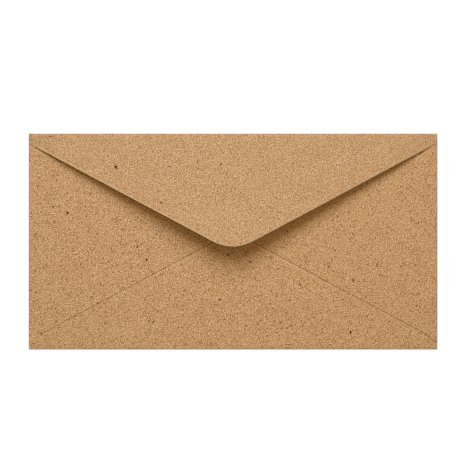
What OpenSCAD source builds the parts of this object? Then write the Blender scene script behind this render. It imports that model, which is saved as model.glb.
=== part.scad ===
// Paper envelope with a pointed top flap, folded from one sheet.
// It lies on its front panel with the flap side up. The origin is under its
// middle, X runs along its width, Y from the bottom fold to the top fold.

/* [Envelope] */
// Width from one side fold to the other
envelope_w = 229; // [170:1:330]
// Height from the bottom fold to the top fold
envelope_h = 121; // [100:1:200]
// Thickness of the paper
paper_t = 0.18; // [0.1:0.01:0.4]
// Height of the empty pocket between the front panel and the side flaps
pocket_gap = 0.5; // [0.3:0.05:2]

/* [Top flap] */
// Reach of the top flap from the top fold to its tip
top_flap_reach = 63.4; // [50:0.2:80]
// Height of the straight shoulder at each end of the top flap
top_shoulder_h = 5.3; // [3:0.1:10]
// Radius of the top flap's tip
top_tip_r = 23.5; // [8:0.5:32]
// Angle by which the unsealed flap springs up at its fold
flap_angle = 9.5; // [7:0.5:20]
// Radius of the curve in which the flap droops towards its tip
flap_droop_r = 2600; // [700:50:5000]

/* [Bottom flap] */
// Length by which the top flap's tip covers the bottom flap's tip
tip_overlap = 5.7; // [2:0.1:15]
// Radius of the bottom flap's tip
bottom_tip_r = 20; // [8:0.5:24]
// Height of the straight shoulder at each end of the bottom flap
bottom_shoulder_h = 3.5; // [2:0.1:6]
// Width of the steeper part of the seam beside each bottom corner
flare_w = 8.5; // [4:0.5:14]
// Height above the bottom fold at which the steeper part ends
flare_h = 9.5; // [7:0.1:12]

/* [Side flaps] */
// Distance between the tips of the two side flaps
throat_w = 16; // [10:1:60]
// Height of the side flaps' blunt tips, between their corners' centres
side_tip_h = 12; // [4:1:20]
// Radius of the corners of the side flaps' tips
side_tip_r = 12; // [4:0.5:16]

/* [Corners] */
// Length by which the side flaps stop short of the top and bottom bends
corner_gap = 1.5; // [0.5:0.1:3]
// Length by which the top and bottom flaps stop short of the side folds
end_inset = 0.1; // [0.05:0.05:1]

/* [Hidden] */
$fn = 96;

half_w = envelope_w / 2;
half_h = envelope_h / 2;

// The bottom flap lies on the side flaps, so its fold is one sheet wider than
// theirs, and so is the top fold, for the top flap to clear them.
side_gap = pocket_gap;
outer_gap = pocket_gap + paper_t;
side_bend_r = side_gap / 2 + paper_t;
outer_bend_r = outer_gap / 2 + paper_t;

side_fold_half = half_h - outer_bend_r - corner_gap;
outer_fold_half = half_w - end_inset;
side_flap_reach = (envelope_w - throat_w) / 2;
bottom_flap_reach = envelope_h - top_flap_reach + tip_overlap;
// Height of the middle of the side flaps' tips, halfway up the overlap
side_tip_y = half_h - top_flap_reach + tip_overlap / 2;

// Each fold's strip starts this far inside the front panel, so that both are
// one sheet, and strips and outlines run this far past each other.
joined = corner_gap / 2;
overrun = 1;
bend_steps = 16;
droop_steps = 12;

function mirrored(points) = [for (i = [len(points) - 1:-1:0]) [-points[i].x, points[i].y]];

function arc(centre, radius, from, to, steps) =
    [for (i = [0:steps])
        let (angle = from + (to - from) * i / steps)
        centre + radius * [cos(angle), sin(angle)]];

// Where a straight edge from a corner touches a rounded tip
function tangent_point(corner, centre, radius) =
    let (
        way = centre - corner,
        angle = atan2(way.y, way.x) - asin(radius / norm(way)) - 90
    )
    centre + radius * [cos(angle), sin(angle)];

function flap_edge(corners, centre, radius) =
    concat(
        corners,
        [tangent_point(corners[len(corners) - 1], centre, radius), centre + [0, radius]]
    );

// Outline of a flap that reaches up from its fold on the X axis. The corners
// are those of its right end, and the tip is round or has two round corners.
module flap_outline(corners, tip_r, reach, tip_right = 0, tip_left = 0) {
    tip_y = reach - tip_r;
    polygon(concat(
        flap_edge(corners, [tip_right, tip_y], tip_r),
        mirrored(flap_edge(corners, [-tip_left, tip_y], tip_r))
    ));
    translate([tip_right, tip_y]) circle(tip_r);
    translate([tip_left, tip_y]) circle(tip_r);
}

// Section of a fold: the panel's edge, the bend round the origin, opened by the
// lift angle, and the flap behind it, given by its two faces.
module fold_section(gap, lift, flap_top, flap_underside) {
    inner_r = gap / 2;
    outer_r = inner_r + paper_t;
    translate([-outer_r, outer_r])
        polygon(concat(
            [[-joined, -outer_r]],
            arc([0, 0], outer_r, -90, 90 - lift, bend_steps),
            flap_top,
            flap_underside,
            arc([0, 0], inner_r, 90 - lift, -90, bend_steps),
            [[-joined, -inner_r]]
        ));
}

// Section of a fold with its flap pressed flat
module flat_section(gap, reach) {
    inner_r = gap / 2;
    fold_section(gap, 0, [[-reach, inner_r + paper_t]], [[-reach, inner_r]]);
}

// Section of a fold that has sprung open, with its flap drooping to the tip
module drooping_section(gap, reach, lift, droop_r) {
    inner_r = gap / 2;
    centre = (inner_r + paper_t - droop_r) * [sin(lift), cos(lift)];
    root = 90 - lift;
    end = 90 - asin(sin(lift) - (reach + overrun) / droop_r);
    fold_section(
        gap, lift,
        arc(centre, droop_r, root, end, droop_steps),
        arc(centre, droop_r - paper_t, end, root, droop_steps)
    );
}

// A folded strip trimmed to a flap's outline: the first child is the outline
// and the second the section. The fold's edge lies on the X axis, and the flap
// reaches back from it over the panel.
module folded_flap(reach, half_length) {
    intersection() {
        mirror([0, 1, 0])
            translate([0, 0, -overrun])
                linear_extrude(reach)
                    children(0);
        rotate([90, 0, 90])
            linear_extrude(2 * (half_length + overrun), center = true)
                children(1);
    }
}

// The address side, narrower where a bend takes its edge
module front_panel() {
    inner_w = envelope_w - 2 * side_bend_r;
    inner_h = envelope_h - 2 * outer_bend_r;
    color("#c2976b")
        linear_extrude(paper_t) {
            square([inner_w, inner_h], center = true);
            for (side = [-1, 1])
                translate([0, side * (side_fold_half + inner_h / 2) / 2])
                    square([2 * outer_fold_half, inner_h / 2 - side_fold_half], center = true);
        }
}

// The left side flap, whose blunt tip ends behind the crossing of the seams
module side_flap() {
    corners = [[side_fold_half, -overrun], [side_fold_half, 0]];
    color("#be9366")
        translate([-half_w, 0, 0])
            rotate(90)
                folded_flap(side_flap_reach, side_fold_half) {
                    flap_outline(
                        corners, side_tip_r, side_flap_reach,
                        side_tip_y + side_tip_h / 2, side_tip_y - side_tip_h / 2
                    );
                    flat_section(side_gap, side_flap_reach);
                }
}

// The flap that closes the pocket, glued down on both side flaps
module bottom_flap() {
    corners = [
        [outer_fold_half, -overrun],
        [outer_fold_half, bottom_shoulder_h],
        [half_w - flare_w, flare_h]
    ];
    color("#be9266")
        translate([0, -half_h, 0])
            rotate(180)
                folded_flap(bottom_flap_reach, outer_fold_half) {
                    flap_outline(corners, bottom_tip_r, bottom_flap_reach);
                    flat_section(outer_gap, bottom_flap_reach);
                }
}

// The unsealed flap over the mouth, which stands up a little from its fold
module top_flap() {
    corners = [[outer_fold_half, -overrun], [outer_fold_half, top_shoulder_h]];
    color("#c59a6f")
        translate([0, half_h, 0])
            folded_flap(top_flap_reach, outer_fold_half) {
                flap_outline(corners, top_tip_r, top_flap_reach);
                drooping_section(outer_gap, top_flap_reach, flap_angle, flap_droop_r);
            }
}

module envelope() {
    front_panel();
    side_flap();
    mirror([1, 0, 0]) side_flap();
    bottom_flap();
    top_flap();
}

envelope();
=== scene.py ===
"""Paper envelope with a raised, pointed top flap, lying on its front panel.

The folded sheet is drawn as its flat blank, cut to outline, and then folded up
along the same bends as the solid, with the waviness of paper, toned folds, and painted light and
shade.
"""
import math

import bpy
import numpy as np
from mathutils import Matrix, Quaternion, Vector, geometry, noise


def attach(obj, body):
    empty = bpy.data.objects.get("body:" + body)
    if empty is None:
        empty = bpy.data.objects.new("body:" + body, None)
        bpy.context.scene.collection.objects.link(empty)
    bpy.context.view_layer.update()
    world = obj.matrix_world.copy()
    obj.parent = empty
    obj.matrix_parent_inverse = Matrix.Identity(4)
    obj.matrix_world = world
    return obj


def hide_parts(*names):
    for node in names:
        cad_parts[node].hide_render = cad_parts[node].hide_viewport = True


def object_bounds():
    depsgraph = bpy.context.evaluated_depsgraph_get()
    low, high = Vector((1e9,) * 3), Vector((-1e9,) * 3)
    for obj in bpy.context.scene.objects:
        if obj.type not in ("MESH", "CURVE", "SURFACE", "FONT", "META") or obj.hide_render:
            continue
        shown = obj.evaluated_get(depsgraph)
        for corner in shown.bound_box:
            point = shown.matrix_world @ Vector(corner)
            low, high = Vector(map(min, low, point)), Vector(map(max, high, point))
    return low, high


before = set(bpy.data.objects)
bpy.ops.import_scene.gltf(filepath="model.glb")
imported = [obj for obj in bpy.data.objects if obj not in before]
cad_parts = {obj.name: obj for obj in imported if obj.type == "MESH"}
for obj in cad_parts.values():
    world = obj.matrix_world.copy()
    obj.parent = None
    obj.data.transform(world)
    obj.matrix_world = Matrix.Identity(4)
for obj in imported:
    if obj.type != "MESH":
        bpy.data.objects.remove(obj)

cad_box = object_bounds()
MM = 0.001

# Driving dimensions in millimetres, as in the solid: only the two shoulders differ,
# by a tenth or two, to make up for the pixel-wide edges at the corners
HALF_W = cad_box[1].x / MM
HALF_H = cad_box[1].y / MM
PAPER_T = 0.18
POCKET_GAP = 0.5
TOP_REACH = 63.4
TOP_SHOULDER = 5.2
TOP_TIP_R = 23.5
FLAP_ANGLE = math.radians(9.5)
DROOP_R = 2600.0
TIP_OVERLAP = 5.7
BOTTOM_TIP_R = 20.0
BOTTOM_SHOULDER = 3.35
FLARE_W = 8.5
FLARE_H = 9.5
THROAT_W = 16.0
SIDE_TIP_H = 12.0
SIDE_TIP_R = 12.0
CORNER_GAP = 1.5
END_INSET = 0.1

# Radii of the bends at the middle of the paper, and where the panel is flat
SIDE_R = POCKET_GAP / 2 + PAPER_T / 2
OUTER_R = (POCKET_GAP + PAPER_T) / 2 + PAPER_T / 2
FLAT_X = HALF_W - SIDE_R - PAPER_T / 2
FLAT_Y = HALF_H - OUTER_R - PAPER_T / 2
SIDE_FOLD_HALF = FLAT_Y - CORNER_GAP
OUTER_FOLD_HALF = HALF_W - END_INSET
SIDE_REACH = HALF_W - THROAT_W / 2
BOTTOM_REACH = 2 * HALF_H - TOP_REACH + TIP_OVERLAP
SIDE_TIP_Y = HALF_H - TOP_REACH + TIP_OVERLAP / 2
SIDE_BEND = math.pi * SIDE_R
BOTTOM_BEND = math.pi * OUTER_R
TOP_BEND = (math.pi - FLAP_ANGLE) * OUTER_R
DROOP_MID_R = DROOP_R - PAPER_T / 2

# Spacing of the mesh: along edges, inside the panels, and across a bend
EDGE_STEP = 2.0
GRID_STEP = 2.6
BEND_ROWS = 10
# Rows of points beside a cut edge, and across the groove beside a seam
RIM_ROWS = (0.2, 0.45, 0.8, 1.3)
GROOVE_ROWS = (-0.5, -0.1, 0.2, 0.45, 0.7, 1.0, 1.4, 2.0)
# Points of the grid keep this far from all edges and rows
GRID_CLEAR = 0.45 * GRID_STEP
# Outline points nearer to each other than the first are one point, the mesh merges
# points nearer than the second, and a point counts as on a fold up to the third
SAME_POINT = 1e-6
MERGED = 1e-4
ON_FOLD = 1e-3


# In the outlines, as in the solid, x runs along the fold and d away from the fold's edge
def arc(centre, radius, start, end, step):
    """Points of an arc between two angles, at most a step apart."""
    count = max(2, math.ceil(abs(end - start) * radius / step))
    angles = [start + (end - start) * i / count for i in range(count + 1)]
    return [(centre[0] + radius * math.cos(a), centre[1] + radius * math.sin(a)) for a in angles]


def flap_edge(corners, centre, radius):
    """One side of a flap: its corners, a straight tangent and the rounded tip."""
    last = corners[-1]
    dx, dy = centre[0] - last[0], centre[1] - last[1]
    angle = math.atan2(dy, dx) - math.asin(radius / math.hypot(dx, dy)) - math.pi / 2
    return corners + arc(centre, radius, angle, math.pi / 2, EDGE_STEP)


def flap_outline(corners, tip_r, reach, tip_right=0.0, tip_left=0.0):
    """The free edge of a flap, from its right end round the tip to its left end."""
    right = flap_edge(corners, (tip_right, reach - tip_r), tip_r)
    left = flap_edge(corners, (-tip_left, reach - tip_r), tip_r)
    points = right + [(-x, d) for x, d in reversed(left)]
    apart = [p for i, p in enumerate(points) if i == 0 or math.dist(p, points[i - 1]) > SAME_POINT]
    return subdivided(apart)


def subdivided(points):
    """The same line with points at most an edge step apart."""
    fine = [points[0]]
    for a, b in zip(points, points[1:]):
        count = max(1, math.ceil(math.dist(a, b) / EDGE_STEP))
        fine += [
            (a[0] + (b[0] - a[0]) * i / count, a[1] + (b[1] - a[1]) * i / count)
            for i in range(1, count + 1)
        ]
    return fine


# Both flaps are cut a little askew. The top one's tip lies left of the middle and its
# left end reaches further, and of the bottom one the right end reaches further.
TIP_ASKEW = -0.1
END_ASKEW = 0.12
BOTTOM_ASKEW = 0.15
TOP_EDGE = [
    (x + TIP_ASKEW * d / TOP_REACH, d - END_ASKEW * x / HALF_W)
    for x, d in flap_outline([(OUTER_FOLD_HALF, TOP_SHOULDER)], TOP_TIP_R, TOP_REACH)
]
BOTTOM_CORNERS = [(OUTER_FOLD_HALF, BOTTOM_SHOULDER), (HALF_W - FLARE_W, FLARE_H)]
BOTTOM_EDGE = [
    (x, d + BOTTOM_ASKEW * x / HALF_W)
    for x, d in flap_outline(BOTTOM_CORNERS, BOTTOM_TIP_R, BOTTOM_REACH)
]
SIDE_EDGE = flap_outline(
    [(SIDE_FOLD_HALF, 0.0), (SIDE_FOLD_HALF, SIDE_R + PAPER_T / 2)],
    SIDE_TIP_R, SIDE_REACH, SIDE_TIP_Y + SIDE_TIP_H / 2, SIDE_TIP_Y - SIDE_TIP_H / 2
)


def flat_length(d, radius):
    """Length of paper from the start of a flat fold's bend to a distance d from its edge."""
    return math.pi * radius + d - radius - PAPER_T / 2


def drooping_length(d):
    """The same for the top fold, which has sprung open and whose flap droops."""
    bend_end_y = FLAT_Y + OUTER_R * math.sin(FLAP_ANGLE)
    slope = math.asin(math.sin(FLAP_ANGLE) - (bend_end_y - (HALF_H - d)) / DROOP_MID_R)
    return TOP_BEND + DROOP_MID_R * (FLAP_ANGLE - slope)


# Each flap's own frame: from (x, d) to the flat blank
def top_to_blank(p):
    return p[0], FLAT_Y + drooping_length(p[1])


def bottom_to_blank(p):
    return p[0], -FLAT_Y - flat_length(p[1], OUTER_R)


def side_to_blank(p, side):
    return side * (FLAT_X + flat_length(p[1], SIDE_R)), p[0]


def region(x, y):
    """The panel or flap of the blank that a point belongs to, its bend included."""
    if abs(y) > FLAT_Y:
        return "top" if y > 0 else "bottom"
    if abs(x) > FLAT_X and abs(y) <= SIDE_FOLD_HALF + ON_FOLD:
        return "side"
    return "panel"


def fold_up(x, y):
    """Place of a point of the blank in the folded envelope, and the outer face's normal there."""
    where = region(x, y)
    base_z = PAPER_T / 2
    if where == "panel":
        return Vector((x, y, base_z)), Vector((0, 0, -1))
    if where == "side":
        side, s, radius, bend = math.copysign(1, x), abs(x) - FLAT_X, SIDE_R, math.pi
    else:
        side, s, radius = math.copysign(1, y), abs(y) - FLAT_Y, OUTER_R
        bend = math.pi - FLAP_ANGLE if where == "top" else math.pi
    angle = min(s / radius, bend)
    out = radius * math.sin(angle)
    up = radius * (1 - math.cos(angle))
    normal_out, normal_up = math.sin(angle), -math.cos(angle)
    rest = s - bend * radius
    if rest > 0 and where == "top":
        slope = FLAP_ANGLE - rest / DROOP_MID_R
        out -= DROOP_MID_R * (math.sin(FLAP_ANGLE) - math.sin(slope))
        up += DROOP_MID_R * (math.cos(slope) - math.cos(FLAP_ANGLE))
        normal_out, normal_up = math.sin(slope), math.cos(slope)
    elif rest > 0:
        out -= rest
    if where == "side":
        place = Vector((side * (FLAT_X + out), y, base_z + up))
        return place, Vector((side * normal_out, 0, normal_up))
    place = Vector((x, side * (FLAT_Y + out), base_z + up))
    return place, Vector((0, side * normal_out, normal_up))


def offset_row(points, distance):
    """A row of points beside a line, on its left for a positive distance."""
    row = []
    for i, p in enumerate(points):
        a, b = points[max(i - 1, 0)], points[min(i + 1, len(points) - 1)]
        length = math.dist(a, b)
        out_x, out_y = -(b[1] - a[1]) / length, (b[0] - a[0]) / length
        row.append((p[0] + out_x * distance, p[1] + out_y * distance))
    return row


def distance_to_line(p, points):
    """Signed distance to a line, positive on its left."""
    best, sign = math.inf, 1.0
    for a, b in zip(points, points[1:]):
        dx, dy = b[0] - a[0], b[1] - a[1]
        t = max(0.0, min(1.0, ((p[0] - a[0]) * dx + (p[1] - a[1]) * dy) / (dx * dx + dy * dy)))
        away = math.hypot(p[0] - a[0] - t * dx, p[1] - a[1] - t * dy)
        if away < best:
            best, sign = away, math.copysign(1, dx * (p[1] - a[1]) - dy * (p[0] - a[0]))
    return best * sign


# The flat blank: its edges run counterclockwise, so that the paper is on their left
EDGES = {
    "top": [top_to_blank(p) for p in TOP_EDGE],
    "bottom": [bottom_to_blank(p) for p in reversed(BOTTOM_EDGE)],
    "left": [side_to_blank(p, -1) for p in SIDE_EDGE],
    "right": [side_to_blank(p, 1) for p in reversed(SIDE_EDGE)],
}


def seam_on_side(side):
    """The bottom flap's edge where it lies on a side flap, drawn on that flap's blank."""
    seam = [p for p in BOTTOM_EDGE if p[0] > THROAT_W / 2]
    return [side_to_blank((d - HALF_H, HALF_W - x), side) for x, d in seam]


def blank_outline():
    """The blank's whole outline, counterclockwise from the bottom flap."""
    corner = [(OUTER_FOLD_HALF, SIDE_FOLD_HALF), (OUTER_FOLD_HALF, FLAT_Y)]
    low_right = [(x, -y) for x, y in reversed(corner)]
    high_left = [(-x, y) for x, y in reversed(corner)]
    low_left = [(-x, -y) for x, y in corner]
    return (EDGES["bottom"] + low_right + EDGES["right"] + corner
            + EDGES["top"] + high_left + EDGES["left"] + low_left)


def bend_rows():
    """Rows of points along each bend, from its start to its end."""
    rows = []
    across = range(BEND_ROWS + 1)
    half_count = math.ceil(OUTER_FOLD_HALF / EDGE_STEP)
    xs = [OUTER_FOLD_HALF * i / half_count for i in range(-half_count, half_count + 1)]
    for k in across:
        rows.append([(x, -FLAT_Y - BOTTOM_BEND * k / BEND_ROWS) for x in xs])
        rows.append([(x, FLAT_Y + TOP_BEND * k / BEND_ROWS) for x in xs])
    half_count = math.ceil(SIDE_FOLD_HALF / EDGE_STEP)
    ys = [SIDE_FOLD_HALF * i / half_count for i in range(-half_count, half_count + 1)]
    for k in across:
        for side in (-1, 1):
            rows.append([(side * (FLAT_X + SIDE_BEND * k / BEND_ROWS), y) for y in ys])
    return rows


# Dark flecks in the pulp that show on the envelope. Each has the place of its middle,
# from the envelope's middle, its length and width, its turn in degrees and its bow.
FLECKS = [
    (-65.6, 41.7, 2.3, 1.05, 114, 0.0), (-92.8, 16.0, 1.7, 1.15, 152, 0.0),
    (67.4, -22.0, 2.3, 0.5, 80, 0.12), (65.8, -50.8, 1.8, 1.0, 84, 0.0),
    (-48.4, -10.3, 1.75, 0.9, 72, 0.0), (-40.1, 21.6, 1.6, 0.62, 158, 0.04),
    (-7.4, -32.6, 1.7, 0.68, 20, 0.0), (37.4, -24.1, 1.7, 0.64, 163, 0.0),
    (-6.9, 43.1, 2.4, 0.36, 54, 0.08), (-53.6, -3.0, 1.2, 0.9, 90, 0.0),
    (-44.5, -44.9, 2.0, 0.6, 27, 0.0), (-79.7, -37.0, 2.5, 0.4, 20, 0.04),
    (-35.4, 41.8, 2.3, 0.34, 160, 0.08), (-19.9, 44.7, 2.2, 0.34, 90, 0.0),
    (9.6, -11.4, 1.2, 0.8, 50, 0.0), (102.9, -35.9, 1.9, 0.4, 28, 0.0),
    (53.2, -22.7, 2.4, 0.24, 144, 0.12), (-97.6, 19.6, 1.2, 0.62, 139, 0.0),
    (-44.8, -18.0, 1.8, 0.4, 21, 0.0), (-110.6, -4.4, 2.0, 0.32, 62, 0.0),
    (-100.0, 10.6, 1.1, 0.58, 48, 0.0), (-26.5, -57.6, 2.0, 0.3, 61, 0.04),
    (-75.9, -34.4, 1.2, 0.5, 129, 0.0), (24.9, -15.4, 1.8, 0.34, 28, 0.0),
]
# Width of the fade at a fleck's edge, how near a point of its outline lies to it,
# and the steps in a quarter of the outline
FLECK_EDGE = 0.1
FLECK_NEAR = 0.3 * FLECK_EDGE
FLECK_STEPS = 4


def fleck_ring(fleck, grown=0.0):
    """The closed outline of a fleck on the envelope, grown by some millimetres."""
    x, y, length, width, turn, bow = fleck
    c, s = math.cos(math.radians(turn)), math.sin(math.radians(turn))
    ring = []
    for i in range(4 * FLECK_STEPS):
        a = math.pi * i / (2 * FLECK_STEPS)
        along = math.cos(a) * (length / 2 + grown)
        across = math.sin(a) * (width / 2 + grown) + bow * (1 - 2 * math.cos(a) ** 2)
        ring.append((x + c * along - s * across, y + s * along + c * across))
    return ring + ring[:1]


def on_blank(ring):
    """A ring drawn on the envelope's back or top flap, moved to its paper's place in the blank."""
    x, y = ring[0]
    if inside(np.array([(x, HALF_H - y)]), TOP_EDGE + [(-HALF_W, 0), (HALF_W, 0)])[0]:
        return [top_to_blank((px, HALF_H - py)) for px, py in ring]
    if inside(np.array([(x, HALF_H + y)]), BOTTOM_EDGE + [(-HALF_W, 0), (HALF_W, 0)])[0]:
        return [bottom_to_blank((px, HALF_H + py)) for px, py in ring]
    side = math.copysign(1, x)
    return [side_to_blank((py, HALF_W - side * px), side) for px, py in ring]


def inside(points, outline):
    """For each point, whether it lies inside the outline."""
    x, y = points[:, 0], points[:, 1]
    odd = np.zeros(len(points), dtype=bool)
    for (ax, ay), (bx, by) in zip(outline, outline[1:] + outline[:1]):
        if ay != by:
            crosses = (ay > y) != (by > y)
            odd ^= crosses & (x < (bx - ax) * (y - ay) / (by - ay) + ax)
    return odd


def nearest(points, lines):
    """For each point, the distance to the nearest of several lines."""
    best = np.full(len(points), np.inf)
    for line in lines:
        for (ax, ay), (bx, by) in zip(line, line[1:]):
            dx, dy = bx - ax, by - ay
            along = ((points[:, 0] - ax) * dx + (points[:, 1] - ay) * dy) / (dx * dx + dy * dy)
            along = np.clip(along, 0, 1)
            away = np.hypot(points[:, 0] - ax - along * dx, points[:, 1] - ay - along * dy)
            best = np.minimum(best, away)
    return best


def cut_blank():
    """Points and triangles of the flat blank, finer beside its edges, seams and bends."""
    outline = blank_outline()
    rows = bend_rows()
    rim_rows = [offset_row(edge, d) for edge in EDGES.values() for d in RIM_ROWS]
    groove_rows = [
        offset_row(seam_on_side(side), side * d) for side in (-1, 1) for d in GROOVE_ROWS
    ]
    for row in rim_rows + groove_rows:
        keep = inside(np.array(row), outline)
        rows.append([p for p, kept in zip(row, keep) if kept])
    rows += [
        on_blank(fleck_ring(fleck, grown)) for fleck in FLECKS for grown in (0.0, FLECK_EDGE)
    ]
    reach_x = max(x for x, y in outline)
    reach_y = max(abs(y) for x, y in outline)
    row_h = GRID_STEP * math.sqrt(3) / 2
    grid = [
        ((i + 0.5 * (j % 2)) * GRID_STEP, j * row_h)
        for i in range(-int(reach_x / GRID_STEP) - 1, int(reach_x / GRID_STEP) + 2)
        for j in range(-int(reach_y / row_h) - 1, int(reach_y / row_h) + 2)
    ]
    grid = np.array(grid)
    grid = grid[inside(grid, outline)]
    clear = nearest(grid, rows + [outline + outline[:1]]) > GRID_CLEAR
    points = list(outline)
    edges = [(i, (i + 1) % len(outline)) for i in range(len(outline))]
    for row in rows:
        edges += [(len(points) + i, len(points) + i + 1) for i in range(len(row) - 1)]
        points += row
    points += [tuple(p) for p in grid[clear]]
    made = geometry.delaunay_2d_cdt([Vector(p) for p in points], edges, [], 0, MERGED)
    flat = np.array([tuple(p) for p in made[0]])
    triangles = np.array([f for f in made[2]])
    kept = inside(flat[triangles].mean(axis=1), outline)
    return flat, triangles[kept]


# Relief of the paper, in millimetres along the outer face's normal: the dip beside
# the seams, its width on the side flaps and its width on the bottom flap
SEAM_DIP = 0.065
SEAM_DIP_W = 0.55
SEAM_EDGE_W = 1.4
# The left seam is pressed shut over this length from its corner
CLOSED_END = 3.6
# The right seam's painted shade is drawn stronger by this share towards its corner, over
# these distances from the side fold
STRONG_END = 0.18
STRONG_END_FROM = 30.0
STRONG_END_TO = 20.0
# The lip at the top flap's cut edge
RIM_LIP = 0.02
RIM_LIP_W = 0.5
# The swelling of the glued back, which flattens towards the folds
PUFF = 0.35
PUFF_POWER = 0.8
# Slow waves of all layers, around a middle level
RIPPLE = 0.16
RIPPLE_LENGTH = 62.0
RIPPLE_LEVEL = 0.5
RIPPLE_SEED = 3.7
# The top flap's warp, and the upward curl of its tip
FLAP_WARP = 0.5
FLAP_WARP_LENGTH = 70.0
FLAP_WARP_SEED = 9.1
TIP_CURL = 1.1
TIP_CURL_W = 28.0
# The top flap's ends are pressed down by this share of their height, and their corners
# by a larger one. Pressed all the way, the paper's middle comes to the last height:
# above the panel, the pocket, the side flap and half of its own thickness.
END_PRESS = 0.69
END_PRESS_W = 25.0
CORNER_PRESS = 0.97
CORNER_PRESS_W = 7.0
FLAP_CLEARANCE = 0.05
FLAP_REST_Z = POCKET_GAP + 2.5 * PAPER_T + FLAP_CLEARANCE


def smooth(x):
    """A soft step from 0 to 1."""
    x = max(0.0, min(1.0, x))
    return x * x * (3 - 2 * x)


def back_puff(x, y):
    """How far the glued back of the pocket stands up, from none at the folds."""
    u = max(0.0, 1 - (x / HALF_W) ** 2)
    v = max(0.0, 1 - (y / HALF_H) ** 2)
    return PUFF * (u * v) ** PUFF_POWER


def ripple(x, y):
    """Slow waves that all layers share."""
    wave = noise.noise(Vector((x / RIPPLE_LENGTH, y / RIPPLE_LENGTH, RIPPLE_SEED)))
    return RIPPLE * max(0.0, RIPPLE_LEVEL + wave)


def flap_relief(place, edge_away):
    """Relief of the top flap: its lip, its curled tip, its warp and its pressed ends."""
    reach = min(1.0, max(0.0, HALF_H - place.y) / TOP_REACH)
    end_away = HALF_W - abs(place.x)
    wave = (place.x / FLAP_WARP_LENGTH, place.y / FLAP_WARP_LENGTH, FLAP_WARP_SEED)
    relief = RIM_LIP * max(0.0, 1 - edge_away / RIM_LIP_W) ** 2
    relief += TIP_CURL * smooth(1 - (1 - reach) * TOP_REACH / TIP_CURL_W)
    relief += FLAP_WARP * reach * noise.noise(Vector(wave))
    pressed = END_PRESS * smooth(1 - end_away / END_PRESS_W)
    pressed += (CORNER_PRESS - END_PRESS) * smooth(1 - end_away / CORNER_PRESS_W)
    return relief - pressed * max(0.0, place.z - FLAP_REST_Z)


# Sets the grain of the sheet's inner face apart from that of its outer face
INNER_FACE = 40.0
# Distance that stands for no seam nearby
FAR = 99.0


def rim_distance(flat):
    """Distance of each point from the nearest cut edge."""
    return nearest(flat, EDGES.values())


def ridge_distance(flat):
    """Distance of each point from the ridge of the nearest fold."""
    x, y = np.abs(flat[:, 0]), flat[:, 1]
    return np.minimum.reduce([
        np.abs(x - FLAT_X - SIDE_BEND / 2),
        np.abs(y + FLAT_Y + BOTTOM_BEND / 2),
        np.abs(y - FLAT_Y - TOP_BEND / 2),
    ])


def in_fleck(flat):
    """1 at the points of a fleck's outline, and 0 at all others."""
    rings = [on_blank(fleck_ring(fleck)) for fleck in FLECKS]
    return nearest(flat, rings) < FLECK_NEAR


def place_sheet(flat):
    """Outer and inner points of the folded sheet for each point of the blank."""
    rim = rim_distance(flat)
    seam_line = [(x, d - HALF_H) for x, d in BOTTOM_EDGE]
    outer, inner, seam, shown = [], [], [], []
    for (x, y), edge_away in zip(flat, rim):
        place, normal = fold_up(x, y)
        where = region(x, y)
        on_back = place.z > PAPER_T and where in ("side", "bottom")
        opened = smooth((place.x + HALF_W - CLOSED_END) / CLOSED_END)
        relief, seam_away = 0.0, FAR
        if on_back:
            relief += back_puff(place.x, place.y)
        if where == "side" and on_back:
            seam_away = -distance_to_line((place.x, place.y), seam_line)
            relief -= opened * SEAM_DIP * (1 - smooth(seam_away / SEAM_DIP_W))
        if where == "bottom" and on_back:
            seam_away = -edge_away
            relief -= opened * SEAM_DIP * (1 - smooth(edge_away / SEAM_EDGE_W))
        if where == "top":
            relief += flap_relief(place, edge_away)
        lift = Vector((0, 0, ripple(place.x, place.y)))
        place = place + normal * relief + lift
        outer.append((place + normal * PAPER_T / 2) * MM)
        inner.append((place - normal * PAPER_T / 2) * MM)
        seam.append(seam_away)
        right_end_away = HALF_W - place.x
        strong = smooth((STRONG_END_FROM - right_end_away) / (STRONG_END_FROM - STRONG_END_TO))
        shown.append(opened * (1 + STRONG_END * strong))
    return outer, inner, {
        "rim": rim,
        "seam": seam,
        "seam_shown": shown,
        "fleck": in_fleck(flat),
        "ridge": ridge_distance(flat),
        "on_flap": flat[:, 1] > FLAT_Y,
    }


def folded_sheet(name):
    """The whole folded sheet with its thickness, and its marks for the material."""
    flat, triangles = cut_blank()
    outer, inner, marks = place_sheet(flat)
    count = len(flat)
    faces = [tuple(t) for t in triangles + count]
    faces += [tuple(reversed(t)) for t in triangles]
    one_way = {(a, b) for t in triangles for a, b in zip(t, np.roll(t, -1))}
    border = [(a, b) for a, b in one_way if (b, a) not in one_way]
    border.sort()
    faces += [(a, b, b + count, a + count) for a, b in border]
    mesh = bpy.data.meshes.new(name)
    mesh.from_pydata(outer + inner, [], [[int(i) for i in f] for f in faces])
    mesh.shade_smooth()
    sharp = {frozenset((int(a) + k, int(b) + k)) for a, b in border for k in (0, count)}
    for edge in mesh.edges:
        edge.use_edge_sharp = frozenset(edge.vertices) in sharp
    both_sides = [(x, y, face_z) for face_z in (0.0, INNER_FACE) for x, y in flat]
    mesh.attributes.new("sheet", "FLOAT_VECTOR", "POINT")
    mesh.attributes["sheet"].data.foreach_set("vector", np.ravel(both_sides))
    for mark, values in marks.items():
        mesh.attributes.new(mark, "FLOAT", "POINT")
        mesh.attributes[mark].data.foreach_set("value", np.tile(values, 2).astype(float))
    piece = bpy.data.objects.new(name, mesh)
    bpy.context.scene.collection.objects.link(piece)
    area = sum(
        abs(np.cross(flat[b] - flat[a], flat[c] - flat[a])) / 2 for a, b, c in triangles
    )
    print("flat blank", np.ptp(flat, axis=0).round(1), "mm, area", round(area * MM * MM, 5), "m2")
    return piece


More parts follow.
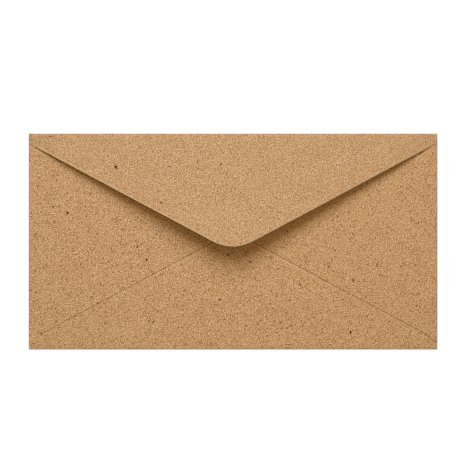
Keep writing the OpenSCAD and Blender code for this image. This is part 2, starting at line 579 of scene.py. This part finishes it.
def linear(red, green, blue):
    """A linear colour from the 0 to 255 values that are seen on a screen, by the sRGB curve."""
    def channel(v):
        v /= 255
        return v / 12.92 if v <= 0.04045 else ((v + 0.055) / 1.055) ** 2.4
    return channel(red), channel(green), channel(blue), 1.0


class Nodes:
    """Short calls for a material's node tree. Each returns the output that comes next."""

    def __init__(self, name):
        self.material = bpy.data.materials.new(name)
        self.material.use_nodes = True
        self.tree = self.material.node_tree
        self.shader = self.tree.nodes["Principled BSDF"]

    def add(self, kind, **settings):
        node = self.tree.nodes.new(kind)
        for key, value in settings.items():
            setattr(node, key, value)
        return node

    def link(self, source, target):
        self.tree.links.new(source, target)

    def math(self, operation, a, b=None):
        node = self.add("ShaderNodeMath", operation=operation)
        for socket, value in zip(node.inputs, (a, b)):
            if value is None:
                continue
            if isinstance(value, (int, float)):
                socket.default_value = value
            else:
                self.link(value, socket)
        return node.outputs[0]

    def mark(self, name):
        """The value that the mesh holds under this name."""
        return self.add("ShaderNodeAttribute", attribute_name=name).outputs["Fac"]

    def noise(self, vector, scale, detail=2.0, roughness=0.5):
        node = self.add("ShaderNodeTexNoise")
        self.link(vector, node.inputs["Vector"])
        node.inputs["Scale"].default_value = scale
        node.inputs["Detail"].default_value = detail
        node.inputs["Roughness"].default_value = roughness
        return node.outputs["Fac"]

    def shift(self, vector, distance):
        node = self.add("ShaderNodeVectorMath", operation="ADD")
        self.link(vector, node.inputs[0])
        node.inputs[1].default_value = (distance, distance, distance)
        return node.outputs[0]

    def cells(self, vector, scale):
        """Three random values for each cell of an irregular mosaic."""
        node = self.add("ShaderNodeTexVoronoi")
        self.link(vector, node.inputs["Vector"])
        node.inputs["Scale"].default_value = scale
        split = self.add("ShaderNodeSeparateColor")
        self.link(node.outputs["Color"], split.inputs[0])
        return split.outputs

    def ramp(self, value, stops):
        node = self.add("ShaderNodeValToRGB")
        self.link(value, node.inputs[0])
        points = node.color_ramp.elements
        while len(points) < len(stops):
            points.new(0.5)
        for point, (position, colour) in zip(points, stops):
            point.position, point.color = position, colour
        return node.outputs["Color"]

    def remap(self, value, low, high, to_low=0.0, to_high=1.0):
        node = self.add("ShaderNodeMapRange")
        self.link(value, node.inputs["Value"])
        node.inputs["From Min"].default_value = low
        node.inputs["From Max"].default_value = high
        node.inputs["To Min"].default_value = to_low
        node.inputs["To Max"].default_value = to_high
        return node.outputs["Result"]

    def scaled(self, value, factor):
        return self.math("MULTIPLY", value, factor)

    def distance(self, value, place):
        return self.math("ABSOLUTE", self.math("SUBTRACT", value, place))

    def mix(self, factor, a, b, blend="MIX"):
        node = self.add("ShaderNodeMix", data_type="RGBA", blend_type=blend)
        sockets = (node.inputs[0], node.inputs[6], node.inputs[7])
        for socket, value in zip(sockets, (factor, a, b)):
            if isinstance(value, (int, float, tuple)):
                socket.default_value = value
            else:
                self.link(value, socket)
        return node.outputs[2]


# The middle of a noise's values, and of the grain's levels
MIDDLE = 0.5
# Colours are given as they are seen on a screen. First the paper's own, then the spans
# over which its dark and its pale grains differ from it, and the levels they are set at.
PAPER = (196, 151, 103.5)
DARK_SPAN = (127, 156, 198)
PALE_SPAN = (130, 150, 168)
PALEST = 252
DARK_LEVELS = (0, 0.25, 0.5)
PALE_LEVELS = (0.75, 1)
# Sizes of pulp grains, their clusters, fibres and slow mottling, in millimetres of paper
GRAIN_SIZE = 0.5
CLUSTER_SIZE = 2.6
FIBRE_SIZE = 3.4
MOTTLE_SIZE = 11.0
# Their shares in the tone, and the grain's shares on the top flap and at the right end
GRAIN_SHARE = 2.05
CELL_SHARE = 0.27
CLUSTER_SHARE = 0.05
MOTTLE_SHARE = 0.08
FLAP_GRAIN = 0.9
RIGHT_GRAIN = 0.87
# Painted shade on the top flap: its colour is multiplied by this, darker and a little bluer,
# against the extra light its tilt catches
FLAP_PAINTED_SHADE = (0.902, 0.926, 0.972, 1)
# Specks are the cells above these values. They are weaker on the top flap.
SPECK = (98, 52, 4)
SPECK_LEVEL = (0.966, 0.968)
SPECK_SHARE = 0.95
SPECK_SHARE_ON_FLAP = 0.6
FLECK = (76, 28, 0)
FLECK_SHARE = 0.95
FLECK_FADE = (0.2, 0.8)
# Dark and pale fibres, each with a seed, a share and a colour. They follow the middle
# of a noise this closely, in the patches where another noise is above these values.
FIBRES = ((0.0, 0.35, (120, 80, 40)), (57.0, 0.3, (236, 204, 164)))
FIBRE_W = 0.016
FIBRE_PATCH_SIZE = 2.0
FIBRE_PATCH = (0.56, 0.64)
# Painted shade along the seams, for the dark crevice beside the bottom flap's edge, over the real
# groove's shading: its colour, its distance from the seams on the side flaps, and half its width
SEAM_SHADE = (104, 64, 26)
SEAM_SHADE_AT = 0.05
SEAM_SHADE_W = 0.28
SEAM_SHADE_SHARE = 0.85
# Painted highlight on the bottom flap, where its cut edge catches the light: a pale band at this
# distance from the seam, which fades out between these distances from the middle
SEAM_HIGHLIGHT = (222, 182, 140)
SEAM_HIGHLIGHT_AT = -1.0
SEAM_HIGHLIGHT_W = 0.6
SEAM_HIGHLIGHT_HALF = (42, 58)
SEAM_HIGHLIGHT_SHARE = 0.4
# The top flap's rim: the cut edge's paler fibres, with a painted highlight on its left half and
# painted shade on its right half, and the turn between them
RIM_W = 1.0
RIM_LEFT_LIT = (203, 173, 127)
RIM_RIGHT_SHADED = (182, 149, 109)
RIM_TURN = (-12, 14)
RIM_SHARE = 0.75
# Tones along the folds' ridges: the bottom fold (paler), the side folds and the top fold (darker,
# greyer)
RIDGES = ((196, 165, 127), (163, 146, 128), (166, 148, 121))
RIDGE_STOPS = (0, 0.02, 0.98, 1)
RIDGE_W = 1.0
RIDGE_SHARE = 0.8
# Rims, ridges and the painted highlight bands have their full tone up to this distance
FULL_TONE = 0.1
PAPER_ROUGHNESS = 0.85
PAPER_SHINE = 0.03
BUMP_STRENGTH = 0.25
BUMP_HEIGHT = 0.05 * MM


def pulp_tone(n, sheet, cells, on_flap, across):
    """The grain's tone around 0: soft and sharp grains, slightly clustered and mottled."""
    grain = n.noise(sheet, 1 / GRAIN_SIZE, detail=1.0, roughness=0.6)
    cluster = n.noise(sheet, 1 / CLUSTER_SIZE)
    mottle = n.noise(sheet, 1 / MOTTLE_SIZE)
    tone = n.scaled(n.math("SUBTRACT", grain, MIDDLE), GRAIN_SHARE)
    for part, share in ((cells, CELL_SHARE), (cluster, CLUSTER_SHARE), (mottle, MOTTLE_SHARE)):
        tone = n.math("ADD", tone, n.scaled(n.math("SUBTRACT", part, MIDDLE), share))
    tone = n.scaled(tone, n.remap(on_flap, 0, 1, 1.0, FLAP_GRAIN))
    return n.scaled(tone, n.remap(across, 0, HALF_W, 1.0, RIGHT_GRAIN))


def grain_stop(level, span):
    shades = (min(PALEST, v + (level - MIDDLE) * s) for v, s in zip(PAPER, span))
    return level, linear(*shades)


def with_specks(n, colour, sheet, cells, on_flap):
    """The pulp with its specks, fibres and flecks."""
    strength = n.remap(on_flap, 0, 1, SPECK_SHARE, SPECK_SHARE_ON_FLAP)
    colour = n.mix(n.scaled(n.remap(cells, *SPECK_LEVEL), strength), colour, linear(*SPECK))
    for seed, share, tint in FIBRES:
        place = n.shift(sheet, seed)
        line = n.distance(n.noise(place, 1 / FIBRE_SIZE, detail=1.0), MIDDLE)
        here = n.remap(n.noise(place, 1 / FIBRE_PATCH_SIZE), *FIBRE_PATCH)
        fibre = n.scaled(n.remap(line, FIBRE_W, 0.0), here)
        colour = n.mix(n.scaled(fibre, share), colour, linear(*tint))
    fleck = n.remap(n.mark("fleck"), *FLECK_FADE)
    return n.mix(n.scaled(fleck, FLECK_SHARE), colour, linear(*FLECK))


def with_rim(n, colour, on_flap, across):
    """The top flap darkened by painted shade, and its rim: paler cut-edge fibres with painted
    light and shade.
    """
    # Painted shade: the top flap's colour is multiplied darker
    colour = n.mix(on_flap, colour, n.mix(1.0, colour, FLAP_PAINTED_SHADE, "MULTIPLY"))
    # Painted highlight on the rim's left half and painted shade on its right half
    rim_lit_and_shaded = n.mix(n.remap(across, *RIM_TURN), linear(*RIM_LEFT_LIT), linear(*RIM_RIGHT_SHADED))
    near = n.remap(n.mark("rim"), RIM_W, FULL_TONE)
    return n.mix(n.scaled(near, n.scaled(on_flap, RIM_SHARE)), colour, rim_lit_and_shaded)


def with_seams(n, colour, across):
    """Painted shade along each seam and a painted highlight band beside it."""
    seam = n.mark("seam")
    # Painted shade: a dark line in the colour along each seam's crevice
    line = n.remap(n.distance(seam, SEAM_SHADE_AT), SEAM_SHADE_W, 0.0)
    line = n.scaled(line, n.mark("seam_shown"))
    colour = n.mix(n.scaled(line, SEAM_SHADE_SHARE), colour, linear(*SEAM_SHADE))
    # Painted highlight: a pale band on the bottom flap beside each seam
    band = n.remap(n.distance(seam, SEAM_HIGHLIGHT_AT), SEAM_HIGHLIGHT_W, FULL_TONE)
    inward = n.remap(n.distance(across, 0.0), *reversed(SEAM_HIGHLIGHT_HALF))
    return n.mix(n.scaled(n.scaled(band, inward), SEAM_HIGHLIGHT_SHARE), colour, linear(*SEAM_HIGHLIGHT))


def with_ridges(n, colour, along):
    """A different tone along each fold's ridge."""
    ridge = n.remap(n.mark("ridge"), RIDGE_W, FULL_TONE)
    bottom, side, top = (linear(*tone) for tone in RIDGES)
    height = n.remap(along, -FLAT_Y - OUTER_R, FLAT_Y + OUTER_R)
    ridge_tone = n.ramp(height, list(zip(RIDGE_STOPS, (bottom, side, side, top))))
    return n.mix(n.scaled(ridge, RIDGE_SHARE), colour, ridge_tone)


def kraft_paper(name):
    n = Nodes(name)
    sheet = n.add("ShaderNodeAttribute", attribute_name="sheet").outputs["Vector"]
    on_flap = n.mark("on_flap")
    split = n.add("ShaderNodeSeparateXYZ")
    n.link(sheet, split.inputs[0])
    across, along = split.outputs["X"], split.outputs["Y"]
    cells = n.cells(sheet, 1 / GRAIN_SIZE)

    tone = pulp_tone(n, sheet, cells["Red"], on_flap, across)
    stops = [grain_stop(level, DARK_SPAN) for level in DARK_LEVELS]
    stops += [grain_stop(level, PALE_SPAN) for level in PALE_LEVELS]
    colour = n.ramp(n.math("ADD", tone, MIDDLE), stops)
    colour = with_specks(n, colour, sheet, cells["Green"], on_flap)
    colour = with_rim(n, colour, on_flap, across)
    colour = with_seams(n, colour, across)
    colour = with_ridges(n, colour, along)

    n.link(colour, n.shader.inputs["Base Color"])
    n.shader.inputs["Roughness"].default_value = PAPER_ROUGHNESS
    n.shader.inputs["Specular IOR Level"].default_value = PAPER_SHINE
    bump = n.add("ShaderNodeBump")
    bump.inputs["Strength"].default_value = BUMP_STRENGTH
    bump.inputs["Distance"].default_value = BUMP_HEIGHT
    n.link(tone, bump.inputs["Height"])
    n.link(bump.outputs["Normal"], n.shader.inputs["Normal"])
    return n.material


# The envelope
sheet = folded_sheet("envelope_sheet")
sheet.data.materials.append(kraft_paper("kraft_paper"))
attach(sheet, "root")
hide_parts("envelope")

# A pale floor, just below the envelope, bright enough to look white
FLOOR_HALF = 4.0
FLOOR_DROP = 0.02 * MM
FLOOR_TONE = (0.35, 0.35, 0.35, 1)
FLOOR_ROUGHNESS = 0.9
FLOOR_SHINE = 0.2
FLOOR_GLOW = 0.8


def pale_floor(name):
    corners = [(-1, -1), (1, -1), (1, 1), (-1, 1)]
    mesh = bpy.data.meshes.new(name)
    points = [(x * FLOOR_HALF, y * FLOOR_HALF, -FLOOR_DROP) for x, y in corners]
    mesh.from_pydata(points, [], [(0, 1, 2, 3)])
    n = Nodes("pale_" + name)
    n.shader.inputs["Base Color"].default_value = FLOOR_TONE
    n.shader.inputs["Roughness"].default_value = FLOOR_ROUGHNESS
    n.shader.inputs["Specular IOR Level"].default_value = FLOOR_SHINE
    n.shader.inputs["Emission Color"].default_value = (1, 1, 1, 1)
    n.shader.inputs["Emission Strength"].default_value = FLOOR_GLOW
    mesh.materials.append(n.material)
    floor = bpy.data.objects.new(name, mesh)
    bpy.context.scene.collection.objects.link(floor)
    return floor


pale_floor("floor")

# The photo's frame: its size in pixels, and the envelope's width and centre in it
PHOTO_SIZE = 466
PHOTO_CENTRE = (PHOTO_SIZE - 1) / 2
ENVELOPE_PIXELS = 408.7
ENVELOPE_CENTRE_X = 232.57
ENVELOPE_CENTRE_Y = 240.96
PIXEL = 2 * HALF_W * MM / ENVELOPE_PIXELS
CAMERA_X = (PHOTO_CENTRE - ENVELOPE_CENTRE_X) * PIXEL
CAMERA_Y = (ENVELOPE_CENTRE_Y - PHOTO_CENTRE) * PIXEL
CAMERA_HEIGHT = 3.0
SENSOR_W = 36
CLIP_START = 0.1
CLIP_END = 20

camera = bpy.data.objects.new("camera", bpy.data.cameras.new("camera"))
camera.data.sensor_width = SENSOR_W
camera.data.lens = SENSOR_W * CAMERA_HEIGHT / (PIXEL * PHOTO_SIZE)
camera.data.clip_start = CLIP_START
camera.data.clip_end = CLIP_END
camera.location = (CAMERA_X, CAMERA_Y, CAMERA_HEIGHT)
bpy.context.scene.collection.objects.link(camera)
bpy.context.scene.camera = camera


def area_light(name, location, energy, colour):
    light = bpy.data.objects.new(name, bpy.data.lights.new(name, "AREA"))
    light.data.energy = energy
    light.data.color = colour
    light.visible_camera = False
    light.location = location
    bpy.context.scene.collection.objects.link(light)
    return light


# A tall softbox beyond the top fold, which leans a little to one side. Low and high are
# its edges' heights in metres.
KEY_DISTANCE = 0.66
KEY_LOW = 0.293
KEY_HIGH = 1.275
KEY_WIDTH = 0.29
KEY_ASIDE = -0.052
KEY_LEAN = math.radians(-9)
KEY_ENERGY = 13.6
KEY_COLOUR = (0.92, 1.0, 1.15)

key_place = (KEY_ASIDE, KEY_DISTANCE, (KEY_LOW + KEY_HIGH) / 2)
key = area_light("softbox", key_place, KEY_ENERGY, KEY_COLOUR)
key.data.shape = "RECTANGLE"
key.data.size = KEY_WIDTH
key.data.size_y = KEY_HIGH - KEY_LOW
upright = Vector((0, 1, 0)).to_track_quat("Z", "Y")
key.rotation_mode = "QUATERNION"
key.rotation_quaternion = Quaternion((0, 1, 0), KEY_LEAN) @ upright

# A weaker one overhead, so near that the envelope's corners get a little less of its light
FILL_HEIGHT = 0.31
FILL_ASIDE = 0.015
FILL_NEARER = 0.03
FILL_SIZE = 0.25
FILL_ENERGY = 0.213
FILL_COLOUR = (1.0, 0.81, 0.51)

fill_place = (FILL_ASIDE, -FILL_NEARER, FILL_HEIGHT)
fill = area_light("overhead", fill_place, FILL_ENERGY, FILL_COLOUR)
fill.data.size = FILL_SIZE

# Weak warm light from all round
WORLD_COLOUR = (1.0, 0.8, 0.46, 1)
WORLD_STRENGTH = 0.2

world = bpy.data.worlds.new("soft_light")
world.use_nodes = True
world.node_tree.nodes["Background"].inputs["Color"].default_value = WORLD_COLOUR
world.node_tree.nodes["Background"].inputs["Strength"].default_value = WORLD_STRENGTH
bpy.context.scene.world = world
bpy.context.scene.view_settings.view_transform = "Standard"
